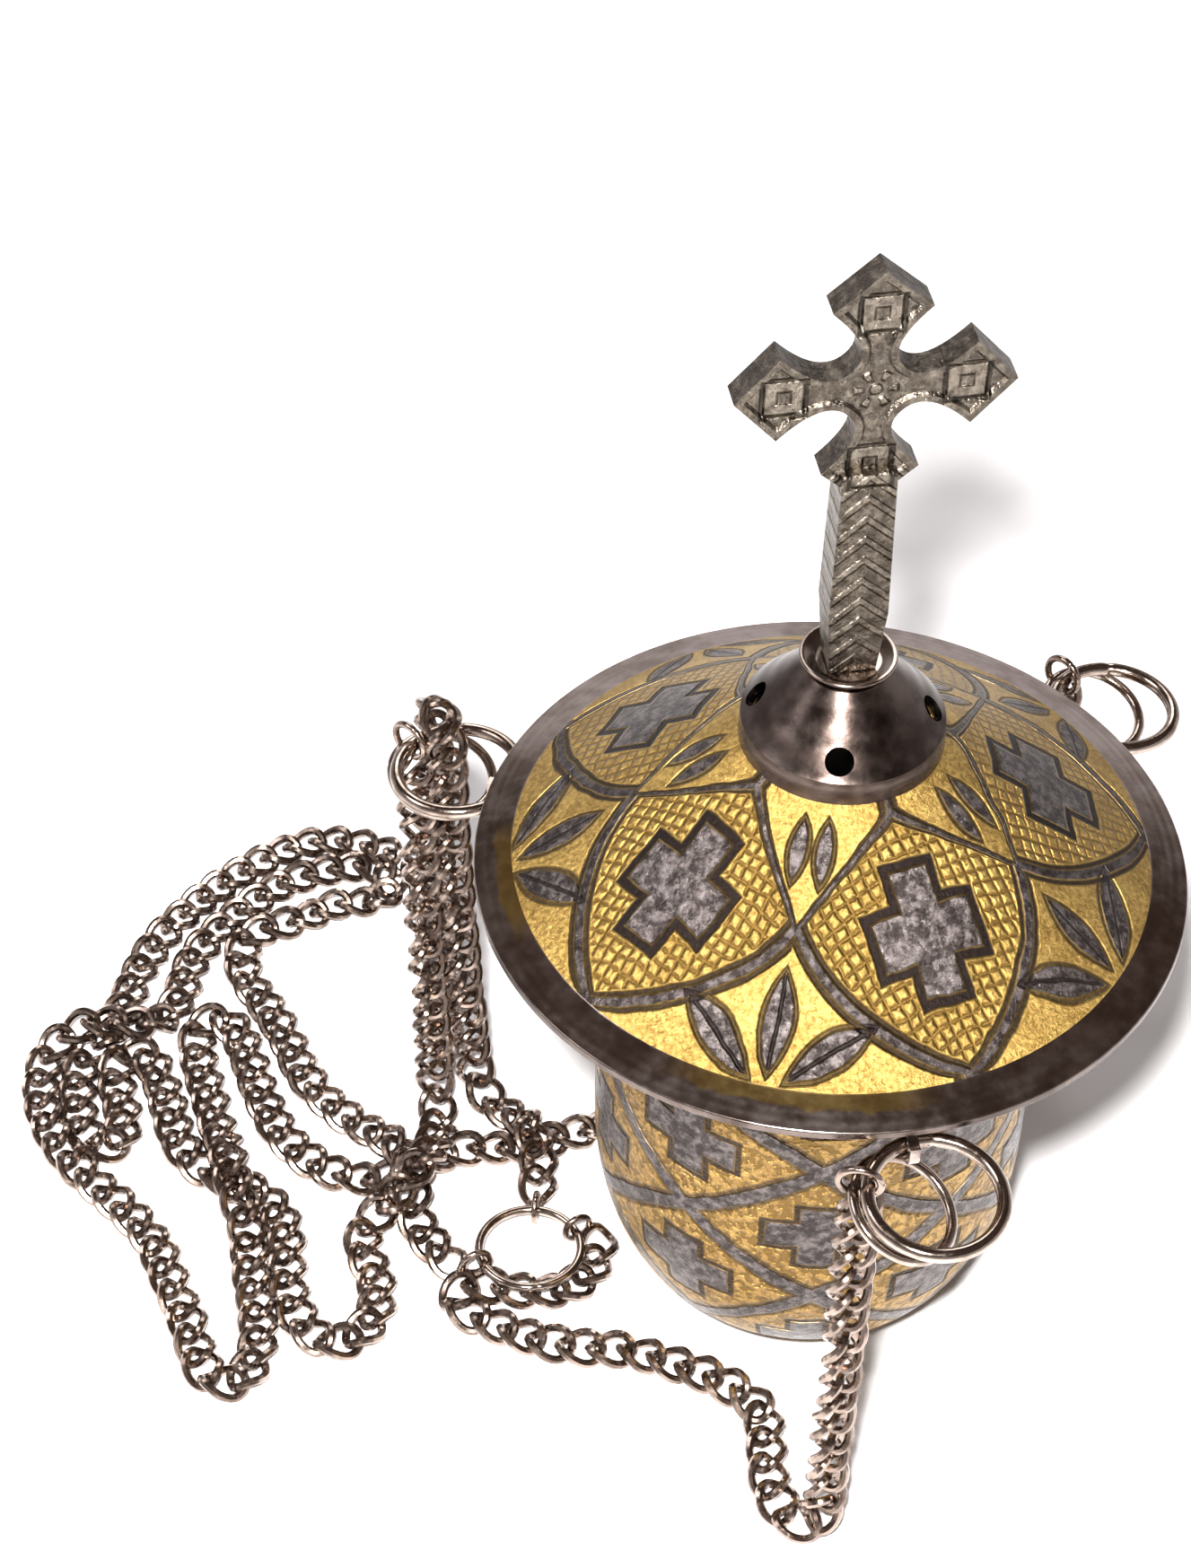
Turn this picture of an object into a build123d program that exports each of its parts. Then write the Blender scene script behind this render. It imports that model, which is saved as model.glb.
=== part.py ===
from build123d import *

import os
from math import atan2, cos, degrees, pi, radians, sin, sqrt, tan

# A small hanging thurible (incense censer): chased bowl and lid, cast cross, rings and three curb chains.
# Z is up, the foot stands on z = 0 and the bowl's axis is the Z axis. The front lug is towards -Y.
# All sizes are in millimetres.

# Bowl: a straight-walled cup with an elliptical bottom, standing on a low foot
BOWL_R = 32.2  # outside of the straight wall and of the neck
BOWL_WALL = 1.2
BOWL_FLOOR = 1.6
FOOT_R = 15.0
FOOT_H = 1.5
BELLY_H = 32.0  # height at which the straight wall begins
BASE_R = 17.6  # flat underside of the bowl
FLANGE_TOP = 82.8  # the lid rests at this height
FLANGE_T = 1.2
FLANGE_R = 49.0
NECK_H = 2.8  # how far the neck stands above the flange

# Lid: a cone of sheet with a bevelled rim
LID_R = 50.0
LID_EDGE = 1.2  # upright edge of the rim
BEVEL_R = 45.0  # where the bevel meets the ornamented cone
BEVEL_RISE = 1.7
DOME_TOP_R = 14.07  # where the smoke cone sits
DOME_RISE = 22.95
LID_WALL = 1.3
LID_HOLE_R = 12.4
LOCATING_GAP = 0.6
LOCATING_WALL = 1.2
LOCATING_LIFT = 0.3

# Smoke cone, its vents, and the collar under the cross
CONE_WALL = 1.2
CONE_SKIRT_H = 3.6
CONE_SKIRT_R = 13.9
CONE_TOP_R = 5.8
CONE_RISE = 9.0
VENT_R = 1.95
VENTS = 4
VENT_ABOVE_SKIRT = 2.2
VENT_TURN = -106.0
COLLAR_R = 6.6
COLLAR_H = 1.9
COLLAR_DISH_R = 6.0
COLLAR_DISH_DEPTH = 1.0

# Cross: head and stem are one casting
CROSS_HALF = 18.0  # centre to the point of each arm
CROSS_T = 4.0
ARM_END_HALF = 6.3
ARM_POINT = 5.6  # how far the point stands past the arm's corners
ARM_NECK_HALF = 2.5
ARM_NECK_AT = 7.2
STEM_W = 8.0
STEM_D = 6.6
STEM_FOOT_W = 6.4
STEM_FOOT_D = 5.4
CROSS_AXIS_H = 46.2  # cross centre above the collar's dish
STUD_R = 1.5
STUD_IN_STEM = 6.0
NUT_AF = 5.5
NUT_H = 2.4
WASHER_R = 3.4
WASHER_T = 0.5
STUD_TAIL = 1.0

# Charcoal pan: hangs by its lip on the neck
PAN_LIP_R = 31.8
PAN_LIP_T = 0.8
PAN_GAP = 0.8
PAN_WALL = 0.8
PAN_DEPTH = 27.0
PAN_FLOOR_R = 22.0

# Lugs, rings and end links, the same at each of the three places
SITES = {"front": 0.0, "right": 120.0, "left": 240.0}  # turn about Z from the front
LUG_PITCH_R = 48.6  # hole centre from the bowl's axis
LUG_DROP = 1.75  # hole centre below the flange
LUG_HALF = 2.8
LUG_HOLE_R = 1.6
LUG_T = 1.4
THICK_R = 8.85  # centre line of the thick ring
THICK_WIRE = 1.0
THIN_R = 7.4
THIN_WIRE = 0.75
LINK_R = 2.75
LINK_WIRE = 0.55
LINK_GAP = 0.15  # between a ring's wire and the link round it
RING_DROOP = {"front": 6.0, "right": 3.0, "left": 3.0}
RING_SWING = {"front": 9.0, "right": -4.0, "left": -16.0}  # turned sideways in the lug
LINK_TURN = {"front": -120.0, "right": 98.0, "left": -6.0}  # place of the end link round its ring
THIN_DROOP = {"front": 24.0, "right": 15.0, "left": 15.0}

# Hanging ring, where the three chains meet, and the links on it
HANG_R = 7.8
HANG_WIRE = 0.72
HANG_AT = (-42.4, 0.8, 3.6)
HANG_TILT = -3.0
HANG_LINKS = {"1": 74.0, "2": 20.0, "3": 190.0}  # places round the ring, degrees from +X
HANG_LINK_R = 2.1
HANG_LINK_WIRE = 0.5

# Chains: limp curb chains, each drawn as one round tube along the middle of its links.
# The right and left chains lie heaped beside the bowl, in up to three layers where they cross.
CHAIN_D = 2.4
CHAIN_FRONT = [
    (-7.2, -53, 75.4), (-7.7, -53.3, 58), (-7.6, -53.9, 40), (-8.1, -54, 24), (-8.2, -54.3, 12),
    (-8.5, -54.9, 3.4), (-12.8, -53.7, 1.2), (-14.6, -46.5, 1.2), (-13.2, -39.5, 1.2),
    (-12.4, -33, 1.2), (-17.5, -27.3, 1.2), (-24.5, -22.6, 1.2), (-31.2, -19, 1.2), (-38.2, -17.8, 1.2),
    (-45.2, -14.6, 1.2), (-50.8, -10.6, 1.2), (-54.6, -8, 1.2), (-55, -4, 1.2), (-51.4, -3.2, 1.2),
    (-46.8, -5, 1.2), (-42, -6.7, 1.2), (-36.6, -6.4, 1.2), (-32.4, -3, 1.2), (-31.2, 1.8, 1.2),
]
CHAIN_RIGHT = [
    (45.3, 36.9, 75.4), (44.6, 37.6, 55), (44.9, 38.2, 33), (44.2, 38.2, 13), (43.6, 38.8, 2.4),
    (38.6, 41.8, 1.2), (30.5, 42.6, 1.2), (21.5, 40.2, 1.2), (12, 38.6, 1.2), (2.5, 35.2, 1.2),
    (-7.5, 32.4, 1.2), (-16.5, 27.6, 1.2), (-25, 24.6, 1.2), (-33, 23.8, 1.2), (-40.2, 22.2, 1.2),
    (-47.2, 23.6, 1.2), (-53, 23.2, 1.2), (-58.6, 20.2, 1.2), (-64.4, 19.4, 1.2), (-70.2, 21.6, 1.2),
    (-75.2, 26.4, 1.2), (-78.4, 33, 1.2), (-80.2, 40.6, 1.2), (-81.2, 48.6, 1.2), (-82.4, 55.4, 1.2),
    (-86, 58.4, 1.2), (-89.4, 54.8, 1.2), (-89.2, 48, 1.2), (-88.2, 41, 1.2), (-87.6, 34.4, 1.2),
    (-86.6, 27.6, 4), (-86.2, 19.6, 4), (-84.8, 12.6, 1.2), (-85.4, 5.2, 1.2), (-85, -2.6, 1.2),
    (-85.6, -9.8, 1.2), (-88, -15.2, 1.2), (-92.4, -16, 1.2), (-95, -11.4, 1.2), (-95.4, -4.6, 1.2),
    (-97.6, 3.8, 1.2), (-99, 11.8, 1.2), (-103.2, 19.6, 1.2), (-108.4, 26.6, 1.2), (-113, 34.6, 1.2),
    (-115.2, 43.4, 1.2), (-114.6, 51.6, 1.2), (-111.4, 56.6, 2.4), (-106.2, 58.6, 4), (-99.2, 57, 4),
    (-94, 58, 1.6), (-90.6, 63.6, 1.2), (-88.6, 71, 1.2), (-83.4, 77.6, 1.2), (-77, 83, 1.2),
    (-70.2, 87.2, 1.2), (-62.8, 88.8, 1.2), (-56.4, 88.6, 1.2), (-52.6, 86.4, 1.2), (-52.6, 82, 1.2),
    (-56.8, 79.8, 1.2), (-63, 80.6, 1.2), (-69.6, 77.2, 1.2), (-76.2, 77, 1.2), (-80.4, 72, 1.2),
    (-79.6, 64.6, 1.2), (-76.4, 58, 1.2), (-74.2, 50.4, 1.2), (-72.8, 43, 1.2), (-69.4, 36.4, 1.2),
    (-65.2, 31, 1.2), (-60.4, 26.6, 2.6), (-58.6, 22.6, 3.9), (-58.4, 16.6, 3.9), (-59.2, 10.4, 1.4),
    (-57, 5.2, 1.2), (-54.8, 1.6, 1.2),
]
CHAIN_LEFT = [
    (-53.8, 37.4, 75.4), (-53.3, 36.9, 58), (-53.1, 35.9, 40), (-52.7, 35.2, 24), (-52.2, 35.2, 12),
    (-52.5, 34.6, 4.2), (-52.1, 30.6, 1.6), (-53, 26.4, 3.8), (-54.6, 21.6, 5.4), (-57.2, 17.2, 7.6),
    (-61.2, 14, 5.2), (-65.4, 12.2, 1.2), (-68.4, 7.2, 1.2), (-66.4, 1.4, 1.2), (-66.6, -5.2, 1.2),
    (-70, -10.4, 1.2), (-75.8, -11.2, 1.2), (-79.2, -6, 1.2), (-80.2, 1.4, 1.2), (-79, 9.2, 1.2),
    (-79.8, 16.6, 1.2), (-84.6, 21.8, 1.2), (-90.4, 25.2, 1.2), (-94.2, 31.6, 1.2), (-94.8, 39.6, 1.2),
    (-96, 47.2, 1.2), (-97.6, 52.4, 1.2), (-101.6, 52.6, 1.2), (-103.2, 47.4, 1.2), (-102, 39.8, 1.2),
    (-102.8, 34, 1.2), (-106.6, 32.6, 1.2), (-109.2, 37.6, 1.2), (-109.4, 44.2, 1.2),
    (-108.2, 51.6, 1.2), (-103.4, 56.6, 1.2), (-100, 63, 1.2), (-97.2, 70.4, 1.2), (-93, 77.4, 1.2),
    (-87.4, 83.4, 1.2), (-80.8, 88.6, 1.2), (-73.8, 92.8, 1.2), (-66.4, 96, 1.2), (-59.4, 95.4, 1.2),
    (-52.8, 91.6, 1.2), (-47.6, 86.8, 1.2), (-46.6, 79, 1.2), (-47.6, 70.2, 1.2), (-47, 61.2, 1.2),
    (-48.6, 52.4, 1.2), (-48.8, 45.6, 1.2), (-50, 43, 5), (-50.3, 42.8, 14.4), (-49.8, 43.2, 33),
    (-50.3, 43.3, 54), (-50.1, 43.1, 72), (-50.2, 43.2, 82.4), (-49.2, 36.4, 82.4), (-49.1, 36.2, 72),
    (-48.7, 36.8, 56), (-47.6, 36.8, 39), (-46.9, 37.4, 24), (-46, 37.8, 12), (-45.5, 37.3, 4.4),
    (-44.2, 33.4, 1.3), (-41, 29.4, 1.6), (-38.4, 26, 3.8), (-37.8, 20.4, 3.8), (-38.4, 16.2, 1.6),
    (-39, 13.4, 1.2),
]
CHAINS = {"front": CHAIN_FRONT, "right": CHAIN_RIGHT, "left": CHAIN_LEFT}

bowl_top = FLANGE_TOP + NECK_H
rim_top = FLANGE_TOP + LID_EDGE
bevel_top = rim_top + BEVEL_RISE
dome_top = bevel_top + DOME_RISE
dome_slope = DOME_RISE / (BEVEL_R - DOME_TOP_R)
dome_wall_upright = LID_WALL * sqrt(1 + dome_slope**2)


def dome_height(radius, below=0.0):
    """Height of the lid's cone at a radius, or of a cone that far below it."""
    return bevel_top + (BEVEL_R - radius) * dome_slope - below


def turned(outline):
    """A solid turned about Z from (radius, height) points."""
    return revolve(make_face(Plane.XZ * Polyline(*outline, close=True)), Axis.Z)


def cup(radius, base_radius, base_height, belly_height, top):
    """A solid cup: flat base, elliptical bottom, straight wall."""
    across = radius - base_radius
    up = belly_height - base_height
    bottom = EllipticalCenterArc((base_radius, belly_height), across, up, start_angle=-90, arc_size=90)
    edges = [
        Line((0, base_height), (base_radius, base_height)),
        bottom,
        Line((radius, belly_height), (radius, top)),
        Line((radius, top), (0, top)),
        Line((0, top), (0, base_height)),
    ]
    return revolve(make_face(Plane.XZ * Curve(edges)), Axis.Z)


def rounded(vector):
    return [round(value, 5) for value in vector]


def wire_ring(centre, normal, radius, wire):
    """A ring of round wire about a centre."""
    return Plane(origin=centre, z_dir=normal) * Torus(radius, wire)


def bowl_parts():
    outside = cup(BOWL_R, BASE_R, FOOT_H, BELLY_H, bowl_top)
    inside = cup(
        BOWL_R - BOWL_WALL, BASE_R - BOWL_WALL / 2, FOOT_H + BOWL_FLOOR, BELLY_H, bowl_top + 1
    )
    bowl = outside - inside
    foot = Cylinder(FOOT_R, FOOT_H, align=(Align.CENTER, Align.CENTER, Align.MIN))
    foot = chamfer(foot.edges().group_by(Axis.Z)[0], FOOT_H * 0.25)
    flange_low = FLANGE_TOP - FLANGE_T
    flange = turned(
        [(BOWL_R, flange_low), (FLANGE_R, flange_low), (FLANGE_R, FLANGE_TOP), (BOWL_R, FLANGE_TOP)]
    )
    return {"bowl": bowl, "bowl_foot": foot, "bowl_flange": flange}


def lid_parts():
    under_r = BEVEL_R + (bevel_top - dome_wall_upright - FLANGE_TOP) / dome_slope
    lid = turned(
        [
            (LID_R, FLANGE_TOP),
            (LID_R, rim_top),
            (BEVEL_R, bevel_top),
            (LID_HOLE_R, dome_height(LID_HOLE_R)),
            (LID_HOLE_R, dome_height(LID_HOLE_R, dome_wall_upright)),
            (under_r, FLANGE_TOP),
        ]
    )
    ring_in = BOWL_R + LOCATING_GAP
    ring_out = ring_in + LOCATING_WALL
    ring_low = FLANGE_TOP + LOCATING_LIFT
    locating = turned(
        [
            (ring_in, ring_low),
            (ring_out, ring_low),
            (ring_out, dome_height(ring_out, dome_wall_upright)),
            (ring_in, dome_height(ring_in, dome_wall_upright)),
        ]
    )
    return {"lid": lid, "lid_locating_ring": locating}


skirt_top = dome_top + CONE_SKIRT_H
cone_top = skirt_top + CONE_RISE


def smoke_cone():
    cone_slope = CONE_RISE / (CONE_SKIRT_R - CONE_TOP_R)
    inner_foot_r = DOME_TOP_R - CONE_WALL
    inner_skirt_r = CONE_SKIRT_R - CONE_WALL
    inner_top = cone_top - CONE_WALL
    inner_top_r = max(CONE_TOP_R - CONE_WALL * 0.3, STUD_R + CONE_WALL)
    shell = turned(
        [
            (inner_foot_r, dome_height(inner_foot_r)),
            (DOME_TOP_R, dome_top),
            (CONE_SKIRT_R, skirt_top),
            (CONE_TOP_R, cone_top),
            (STUD_R, cone_top),
            (STUD_R, inner_top),
            (inner_top_r, inner_top),
            (inner_skirt_r, skirt_top - CONE_WALL * 0.3),
        ]
    )
    vent_r = CONE_SKIRT_R - VENT_ABOVE_SKIRT / cone_slope
    tilt = degrees(atan2(CONE_SKIRT_R - CONE_TOP_R, CONE_RISE))
    for turn in range(VENTS):
        about = Rot(0, 0, VENT_TURN + 360 / VENTS * turn)
        place = Pos(vent_r, 0, skirt_top + VENT_ABOVE_SKIRT) * Rot(0, 90 - tilt, 0)
        shell -= about * place * Cylinder(VENT_R, CONE_WALL * 4)
    return shell


def collar_and_fastening():
    dish = cone_top + COLLAR_H - COLLAR_DISH_DEPTH
    collar_foot_r = (CONE_TOP_R + STUD_R) * 0.72
    collar = turned(
        [
            (STUD_R, cone_top),
            (collar_foot_r, cone_top),
            (CONE_TOP_R, cone_top + COLLAR_H * 0.3),
            (COLLAR_R, cone_top + COLLAR_H * 0.75),
            (COLLAR_R, cone_top + COLLAR_H),
            (COLLAR_DISH_R, cone_top + COLLAR_H),
            (STEM_FOOT_W * 0.7, dish),
            (STUD_R, dish),
        ]
    )
    under_plate = cone_top - CONE_WALL
    washer_low = under_plate - WASHER_T
    washer = turned(
        [(STUD_R, washer_low), (WASHER_R, washer_low), (WASHER_R, under_plate), (STUD_R, under_plate)]
    )
    nut_low = washer_low - NUT_H
    nut = extrude(RegularPolygon(NUT_AF / 2, 6, major_radius=False), NUT_H)
    nut = Pos(0, 0, nut_low) * (nut - extrude(Circle(STUD_R), NUT_H))
    stud_low = nut_low - STUD_TAIL
    stud_h = dish + STUD_IN_STEM - stud_low
    stud = Pos(0, 0, stud_low) * Cylinder(STUD_R, stud_h, align=(Align.CENTER, Align.CENTER, Align.MIN))
    return {"stem_collar": collar, "stud_washer": washer, "stud_nut": nut, "cross_stud": stud}


def cross():
    dish = cone_top + COLLAR_H - COLLAR_DISH_DEPTH
    corner = CROSS_HALF - ARM_POINT
    root = ARM_NECK_HALF * 1.35
    arm = [
        ThreePointArc((root, root), (ARM_NECK_HALF, ARM_NECK_AT), (ARM_END_HALF, corner)),
        Line((ARM_END_HALF, corner), (0, CROSS_HALF)),
        Line((0, CROSS_HALF), (-ARM_END_HALF, corner)),
        ThreePointArc((-ARM_END_HALF, corner), (-ARM_NECK_HALF, ARM_NECK_AT), (-root, root)),
    ]
    edges = [Rot(0, 0, 90 * quarter) * edge for quarter in range(4) for edge in arm]
    outline = make_face(Plane.XZ * Curve(edges))
    centre_h = dish + CROSS_AXIS_H
    head = Pos(0, 0, centre_h) * extrude(outline, CROSS_T / 2, both=True)
    bevel = CROSS_T * 0.12
    head = chamfer(head.faces().sort_by(Axis.Y)[0].edges(), bevel)
    stem_h = CROSS_AXIS_H - corner + bevel
    shoulder_h = stem_h * 0.3
    stem = loft(
        [
            Pos(0, 0, dish) * Rectangle(STEM_FOOT_W, STEM_FOOT_D),
            Pos(0, 0, dish + shoulder_h) * Rectangle(STEM_W, STEM_D),
            Pos(0, 0, dish + stem_h) * Rectangle(STEM_W * 0.9, STEM_D * 0.9),
        ],
        ruled=True,
    )
    blind = Pos(0, 0, dish) * Cylinder(STUD_R, STUD_IN_STEM, align=(Align.CENTER, Align.CENTER, Align.MIN))
    return head + stem - blind


def charcoal_pan():
    lip_top = bowl_top + PAN_LIP_T
    wall_r = BOWL_R - BOWL_WALL - PAN_GAP
    floor_h = bowl_top - PAN_DEPTH
    knee_h = floor_h + PAN_DEPTH * 0.4
    return turned(
        [
            (0, floor_h),
            (PAN_FLOOR_R, floor_h),
            (wall_r, knee_h),
            (wall_r, bowl_top),
            (PAN_LIP_R, bowl_top),
            (PAN_LIP_R, lip_top),
            (wall_r - PAN_WALL, lip_top),
            (wall_r - PAN_WALL, knee_h + PAN_WALL * 0.4),
            (PAN_FLOOR_R - PAN_WALL * 0.4, floor_h + PAN_WALL),
            (0, floor_h + PAN_WALL),
        ]
    )


lug_height = FLANGE_TOP - FLANGE_T - LUG_DROP


def lug():
    """An eye under the flange at the front, its hole along X."""
    eye = Circle(LUG_HALF) + Pos(0, LUG_DROP / 2) * Rectangle(2 * LUG_HALF, LUG_DROP)
    eye &= Pos(0, (LUG_DROP - LUG_HALF) / 2) * Rectangle(2 * LUG_HALF, LUG_DROP + LUG_HALF)
    eye -= Circle(LUG_HOLE_R)
    plate = Plane.YZ * extrude(eye, LUG_T / 2, both=True)
    return Pos(0, -LUG_PITCH_R, lug_height) * plate


def ring_set(site):
    """The two rings and the end link in one lug, as they lie at the front before they are turned."""
    turn = radians(LINK_TURN[site])
    droop = radians(THIN_DROOP[site])
    out = Vector(sin(turn), -cos(turn), 0)
    along = Vector(cos(turn), sin(turn), 0)
    up = Vector(0, 0, 1)
    centre = Vector(0, -LUG_PITCH_R - THICK_R, lug_height)
    thick = wire_ring(centre, up, THICK_R, THICK_WIRE)
    hold = LINK_R - LINK_WIRE - THICK_WIRE - LINK_GAP
    link_centre = centre + out * (THICK_R + hold)
    link = wire_ring(link_centre, along, LINK_R, LINK_WIRE)
    thin_reach = LINK_R - LINK_WIRE - THIN_WIRE - LINK_GAP
    thin_side = thin_reach * 0.58
    thin_hold = link_centre + out * thin_side - up * sqrt(thin_reach**2 - thin_side**2)
    inward = out * -cos(droop) - up * sin(droop)
    thin = wire_ring(thin_hold + inward * THIN_R, along.cross(inward), THIN_R, THIN_WIRE)
    lug_point = Vector(0, -LUG_PITCH_R, lug_height)
    rest_turn = Rot(0, 0, RING_SWING[site]) * Rot(RING_DROOP[site], 0, 0)
    place = Rot(0, 0, SITES[site]) * Pos(*lug_point) * rest_turn * Pos(*(-lug_point))
    pieces = {f"thick_ring_{site}": thick, f"end_link_{site}": link, f"thin_ring_{site}": thin}
    thin_hinge = (place * Pos(*thin_hold)).position
    thin_axis = thin_hinge - (place * Pos(*(thin_hold + along))).position
    lug_hinge = (place * Pos(*lug_point)).position
    lug_axis = (place * Pos(*(lug_point + Vector(1, 0, 0)))).position - lug_hinge
    thin_centre = (place * Pos(*(thin_hold + inward * THIN_R))).position
    print(site, "swing hinge", rounded(lug_hinge), rounded(lug_axis))
    print(site, "thin hinge", rounded(thin_hinge), rounded(thin_axis))
    print(site, "thin centre", rounded(thin_centre))
    print(site, "end link", rounded((place * Pos(*link_centre)).position))
    return {name: place * piece for name, piece in pieces.items()}


def hanging_ring_parts():
    centre = Vector(*HANG_AT)
    tilt = Rot(HANG_TILT, 0, 0)
    ring = Pos(*centre) * tilt * Torus(HANG_R, HANG_WIRE)
    pieces = {"hanging_ring": ring}
    hinge_turn = radians((HANG_LINKS["1"] + HANG_LINKS["2"]) / 2)
    hinge_at = (Pos(*centre) * tilt * Pos(HANG_R * cos(hinge_turn), HANG_R * sin(hinge_turn), 0)).position
    print("hanging ring hinge", rounded(hinge_at), rounded((-sin(hinge_turn), cos(hinge_turn), 0)))
    print("hanging ring centre", list(HANG_AT))
    for name, place in HANG_LINKS.items():
        out = Vector(cos(radians(place)), sin(radians(place)), 0)
        hold = HANG_LINK_R - HANG_LINK_WIRE - HANG_WIRE - LINK_GAP
        link = wire_ring(out * (HANG_R + hold), Vector(-out.Y, out.X, 0), HANG_LINK_R, HANG_LINK_WIRE)
        pieces[f"ring_link_{name}"] = Pos(*centre) * tilt * link
    return pieces


def chain(name):
    """A tube along straight runs joined by arcs, each as large as its two runs allow."""
    points = [Vector(*point) for point in CHAINS[name]]
    radii = []
    for before, corner, after in zip(points, points[1:], points[2:]):
        turn = radians((corner - before).get_angle(after - corner))
        run = min((corner - before).length, (after - corner).length)
        radii.append(0.45 * run / tan(turn / 2))
    path = FilletPolyline(*points, radius=radii)
    tube = sweep(Plane(origin=path @ 0, z_dir=path % 0) * Circle(CHAIN_D / 2), path=path)
    print(name, "chain length", round(path.length, 1), "radii", [round(radius, 1) for radius in radii])
    print(name, "chain volume over section times length", tube.volume / (pi * CHAIN_D**2 / 4 * path.length))
    return tube


parts = {}
parts.update(bowl_parts())
parts.update(lid_parts())
parts["smoke_cone"] = smoke_cone()
parts.update(collar_and_fastening())
parts["cross"] = cross()
parts["charcoal_pan"] = charcoal_pan()
for site, turn in SITES.items():
    parts[f"lug_{site}"] = Rot(0, 0, turn) * lug()
    parts.update(ring_set(site))
parts.update(hanging_ring_parts())
for name in CHAINS:
    parts[f"chain_{name}"] = chain(name)

os.makedirs("parts", exist_ok=True)
for name, solid in parts.items():
    export_step(solid, f"parts/{name}.step")
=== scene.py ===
import random
from math import atan2, cos, degrees, hypot, pi, radians, sin

import bmesh
import bpy
from mathutils import Matrix, Quaternion, Vector


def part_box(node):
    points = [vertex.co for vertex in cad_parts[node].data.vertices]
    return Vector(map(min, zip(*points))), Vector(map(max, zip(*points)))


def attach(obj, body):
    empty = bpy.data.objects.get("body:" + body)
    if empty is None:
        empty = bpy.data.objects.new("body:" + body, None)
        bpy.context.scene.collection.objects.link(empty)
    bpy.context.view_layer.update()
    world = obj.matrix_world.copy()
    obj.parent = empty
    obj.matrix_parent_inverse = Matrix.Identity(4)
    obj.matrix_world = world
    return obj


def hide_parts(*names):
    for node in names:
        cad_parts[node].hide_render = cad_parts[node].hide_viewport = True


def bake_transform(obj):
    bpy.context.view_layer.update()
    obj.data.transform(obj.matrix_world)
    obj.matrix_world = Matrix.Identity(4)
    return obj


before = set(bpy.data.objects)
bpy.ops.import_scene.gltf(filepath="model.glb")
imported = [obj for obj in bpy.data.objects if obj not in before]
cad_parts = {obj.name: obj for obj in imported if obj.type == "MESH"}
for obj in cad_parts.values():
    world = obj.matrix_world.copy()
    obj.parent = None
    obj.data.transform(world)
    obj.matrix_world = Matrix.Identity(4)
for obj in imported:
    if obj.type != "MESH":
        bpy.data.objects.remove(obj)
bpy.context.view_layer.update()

random.seed(7)

# Camera
# A long lens above the front left of the object, looking down at about 45 degrees.
# It is turned a little about its own axis.
eye = Vector((-0.0974, -0.3287, 0.4330))
aim = Vector((-0.0311, 0.0137, 0.0903))
camera = bpy.data.objects.new("camera", bpy.data.cameras.new("camera"))
bpy.context.collection.objects.link(camera)
camera.location = eye
camera.rotation_mode = "QUATERNION"
camera.rotation_quaternion = (aim - eye).to_track_quat("-Z", "Y") @ Quaternion((0, 0, 1), radians(1.3))
camera.data.sensor_width = 36
camera.data.lens = 79.8
camera.data.clip_start = 0.01
bpy.context.scene.camera = camera


# Chains
# Three curb chains of nickel-plated wire: oval links, each twisted a quarter turn, so that the
# chain lies flat. Each is held at its top by the end link on its thick ring, and at its foot by
# a link on the hanging ring.
class Tex:
    """A value in a material's node tree, with the arithmetic that the patterns are written in."""

    def __init__(self, tree, socket):
        self.tree = tree
        self.socket = socket

    def put(self, socket, value):
        if isinstance(value, Tex):
            self.tree.links.new(value.socket, socket)
        else:
            socket.default_value = value

    def node(self, kind, settings=None, output=0, **inputs):
        """Adds any node: its settings first, then its sockets by name with _ for a space."""
        made = self.tree.nodes.new(kind)
        for key, value in (settings or {}).items():
            setattr(made, key, value)
        for key, value in inputs.items():
            self.put(made.inputs[int(key[1:]) if key[1:].isdigit() else key.replace("_", " ")], value)
        return Tex(self.tree, made.outputs[output])

    def math(self, operation, *rest):
        values = {f"i{place}": value for place, value in enumerate((self, *rest))}
        return self.node("ShaderNodeMath", {"operation": operation}, **values)

    def __add__(self, other):
        return self.math("ADD", other)

    def __sub__(self, other):
        return self.math("SUBTRACT", other)

    def __mul__(self, other):
        return self.math("MULTIPLY", other)

    def __truediv__(self, other):
        return self.math("DIVIDE", other)

    def __pow__(self, other):
        return self.math("POWER", other)

    __radd__ = __add__
    __rmul__ = __mul__

    def __rsub__(self, other):
        return self * -1 + other

    def __rtruediv__(self, other):
        return self ** -1 * other

    def __abs__(self):
        return self.math("ABSOLUTE")

    def least(self, other):
        return self.math("MINIMUM", other)

    def most(self, other):
        return self.math("MAXIMUM", other)

    def ramp(self, low, high):
        """0 below low, 1 above high, smooth between; the other way round if low is above high."""
        values = {"Value": self, "From_Min": low, "From_Max": high}
        return self.node("ShaderNodeMapRange", {"interpolation_type": "SMOOTHSTEP"}, **values)

    def mix(self, first, second):
        """The first colour where this is 0 and the second where it is 1."""
        settings = {"data_type": "RGBA"}
        return self.node("ShaderNodeMix", settings, 2, i0=self, i6=first, i7=second)


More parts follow.
